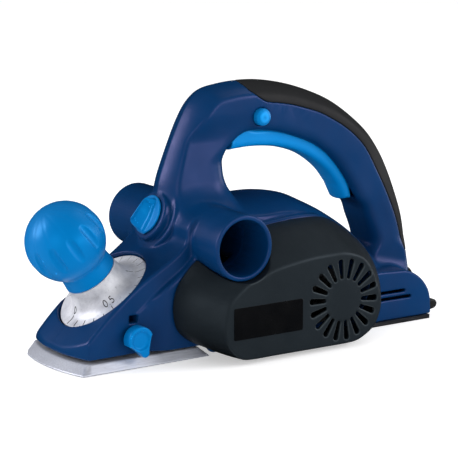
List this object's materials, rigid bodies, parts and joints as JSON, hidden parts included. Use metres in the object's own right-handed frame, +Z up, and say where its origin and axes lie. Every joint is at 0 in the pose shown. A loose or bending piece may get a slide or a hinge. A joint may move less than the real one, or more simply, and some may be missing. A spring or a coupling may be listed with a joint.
{
  "type": "electric hand planer",
  "caption": "Corded hand planer with a belt-driven knife drum, ball-knob depth setting that moves the front shoe, looped handle with long trigger, and a chip tube open on both sides.",
  "frame": {"origin": "on the sole plane, in the machine's middle plane, near the middle of its length", "axes": "+X rearwards along the planing line, +Y to the side away from the belt cover, +Z up"},
  "size_m": [0.315, 0.1469, 0.18],
  "materials": {
    "navy_plastic": "satin moulded plastic, fine grain",
    "grip_rubber": "soft matt overmould",
    "cover_plastic": "fine spark-eroded grain",
    "label_black": "bare glossy film",
    "zinc_screws": "zinc plated",
    "cast_alu": "machined and bead blasted casting",
    "sole_alu": "milled underside, dark coated edge",
    "bearing_steel": "ground",
    "spring_steel": "drawn wire",
    "black_plastic": "matt glass-filled nylon",
    "lamination_steel": "stacked sheet",
    "copper_wire": "varnished copper",
    "brush_brass": "stamped brass",
    "carbon": "pressed carbon",
    "belt_rubber": "ribbed belt",
    "cap_film": "potted film capacitor",
    "accent_blue": "satin gloss",
    "vane_plastic": "matt",
    "dial_silver": "brushed foil on a plastic cone",
    "drum_alu": "turned",
    "knife_steel": "ground carbide edge",
    "bar_steel": "blackened",
    "pulley_alu": "turned"
  },
  "bodies": {
    "planer_body": {"left_shell": "navy_plastic", "right_shell": "navy_plastic", "handle_grip": "grip_rubber", "belt_cover": "cover_plastic", "label_plate": "label_black", "cover_screws": "zinc_screws", "housing_screws": "zinc_screws", "rear_sole": "sole_alu", "sole_screws": "zinc_screws", "bearing_plate": "cast_alu", "bearing_cap": "cast_alu", "cap_screws": "zinc_screws", "drum_bearings": "bearing_steel", "motor_bearings": "bearing_steel", "end_bracket": "black_plastic", "stator_core": "lamination_steel", "field_windings": "copper_wire", "brush_holders": "brush_brass", "carbon_brushes": "carbon", "drive_belt": "belt_rubber", "chip_chute": "black_plastic", "switch_body": "black_plastic", "suppressor": "cap_film", "trigger_pin": "bearing_steel", "cable_gland": "black_plastic", "guide_bushes": "bearing_steel", "foot_pin": "bearing_steel", "depth_spring": "spring_steel"},
    "depth_setter": {"depth_knob": "accent_blue", "depth_dial": "dial_silver", "depth_screw": "bearing_steel", "depth_clip": "bearing_steel"},
    "front_sole": {"front_shoe": "cast_alu"},
    "cutter_drum": {"drum_body": "drum_alu", "drum_shaft": "bearing_steel", "knives": "knife_steel", "knife_bars": "bar_steel", "bar_screws": "zinc_screws", "drum_pulley": "black_plastic", "drum_nut": "zinc_screws"},
    "motor_rotor": {"motor_shaft": "bearing_steel", "armature_core": "lamination_steel", "armature_coils": "copper_wire", "commutator": "copper_wire", "cooling_fan": "black_plastic", "motor_pulley": "pulley_alu"},
    "trigger_lever": {"trigger": "accent_blue"},
    "plunger": {"switch_plunger": "accent_blue"},
    "lock_off": {"lock_button": "accent_blue"},
    "chip_selector": {"selector_lever": "accent_blue", "selector_vane": "vane_plastic"},
    "guide_clamp": {"guide_knob": "accent_blue", "guide_stud": "bearing_steel"},
    "foot": {"parking_foot": "black_plastic"}
  },
  "joints": [
    {"name": "knob_turn", "type": "hinge", "parent": "planer_body", "child": "depth_setter", "pos_m": [-0.101, 0, 0.044], "axis": [0.6, 0, -0.8], "range_deg": [0, 300]},
    {"name": "shoe_slide", "type": "slide", "parent": "planer_body", "child": "front_sole", "axis": [-0.6, 0, 0.8], "range_m": [0, 0.0025], "deforming": ["depth_spring"]},
    {"name": "drum_spin", "type": "hinge", "parent": "planer_body", "child": "cutter_drum", "pos_m": [-0.03, 0, 0.026], "axis": [0, 1, 0], "continuous": true},
    {"name": "rotor_spin", "type": "hinge", "parent": "planer_body", "child": "motor_rotor", "pos_m": [0.0434, 0, 0.0346], "axis": [0, 1, 0], "continuous": true},
    {"name": "trigger_pull", "type": "hinge", "parent": "planer_body", "child": "trigger_lever", "pos_m": [0.0032, 0, 0.1486], "axis": [0, -1, 0], "range_deg": [0, 4], "stiffness_Nm_per_rad": 6, "springref_deg": -1.72},
    {"name": "plunger_press", "type": "slide", "parent": "planer_body", "child": "plunger", "axis": [0, 0, 1], "range_m": [0, 0.0022]},
    {"name": "lock_press", "type": "slide", "parent": "planer_body", "child": "lock_off", "axis": [0, 1, 0], "range_m": [0, 0.0035], "stiffness_N_per_m": 800, "springref_m": -0.002},
    {"name": "selector_turn", "type": "hinge", "parent": "planer_body", "child": "chip_selector", "pos_m": [-0.0343, 0, 0.0785], "axis": [-0.9063, 0, 0.4226], "range_deg": [-45, 45]},
    {"name": "guide_turn", "type": "hinge", "parent": "planer_body", "child": "guide_clamp", "pos_m": [-0.1003, -0.045, 0.0205], "axis": [0, -1, 0], "range_deg": [0, 360]},
    {"name": "foot_swing", "type": "hinge", "parent": "planer_body", "child": "foot", "pos_m": [0.128, -0.0333, 0.009], "axis": [0, 1, 0], "range_deg": [0, 40]}
  ],
  "couplings": [
    {"joint": "shoe_slide", "follows": "knob_turn", "m_per_rad": 0.0004774},
    {"joint": "rotor_spin", "follows": "drum_spin", "ratio": 1.65},
    {"joint": "plunger_press", "follows": "trigger_pull", "m_per_rad": 0.0308}
  ]
}
